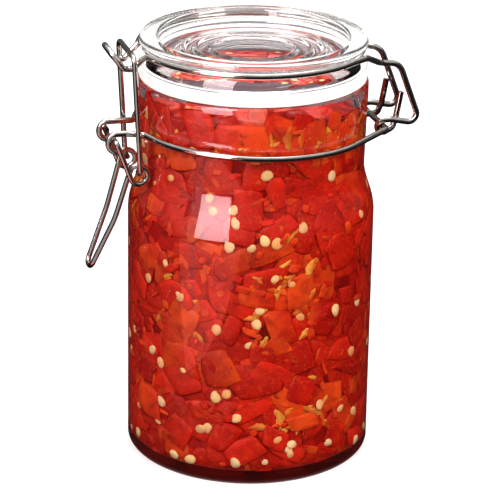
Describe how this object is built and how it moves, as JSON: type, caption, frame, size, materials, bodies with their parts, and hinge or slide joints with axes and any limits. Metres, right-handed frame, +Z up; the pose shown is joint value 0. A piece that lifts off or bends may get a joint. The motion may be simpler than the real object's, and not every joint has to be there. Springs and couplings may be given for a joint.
{
  "type": "bail clamp jar",
  "caption": "Round glass preserving jar with a dished glass lid, a silicone sealing ring and a hinged wire clamp with an over-centre lever.",
  "frame": {"origin": "centre of the jar's base, on the surface that it stands on", "axes": "+Z up along the jar's axis, +X towards the lid's hinge, the latch at -X, the X-Z plane is the plane of symmetry"},
  "size_m": [0.1082, 0.08, 0.1399],
  "materials": {
    "jar_glass": "clear pressed soda-lime glass",
    "lid_glass": "clear pressed soda-lime glass",
    "seal_silicone": "translucent white moulded silicone",
    "wire_steel": "bright drawn stainless wire"
  },
  "bodies": {
    "jar": {"glass_jar": "jar_glass", "neck_wire": "wire_steel"},
    "lid": {"glass_lid": "lid_glass", "sealing_ring": "seal_silicone", "lid_wire": "wire_steel"},
    "lever": {"lever_handle": "wire_steel"},
    "bail": {"bail_wire": "wire_steel"}
  },
  "joints": [
    {"name": "lid_hinge", "type": "hinge", "parent": "jar", "child": "lid", "pos_m": [0.04119, 0, 0.10922], "axis": [0, 1, 0], "range_deg": [0, 110]},
    {"name": "lever_pivot", "type": "hinge", "parent": "jar", "child": "lever", "pos_m": [-0.0467, 0, 0.1094], "axis": [0, 1, 0], "range_deg": [0, 120]},
    {"name": "bail_pivot", "type": "hinge", "parent": "lever", "child": "bail", "pos_m": [-0.0394, 0, 0.0992], "axis": [0, 1, 0], "range_deg": [-88, 0]}
  ],
  "couplings": [
    {"joint": "bail_pivot", "follows": "lever_pivot", "ratio": -0.728}
  ]
}
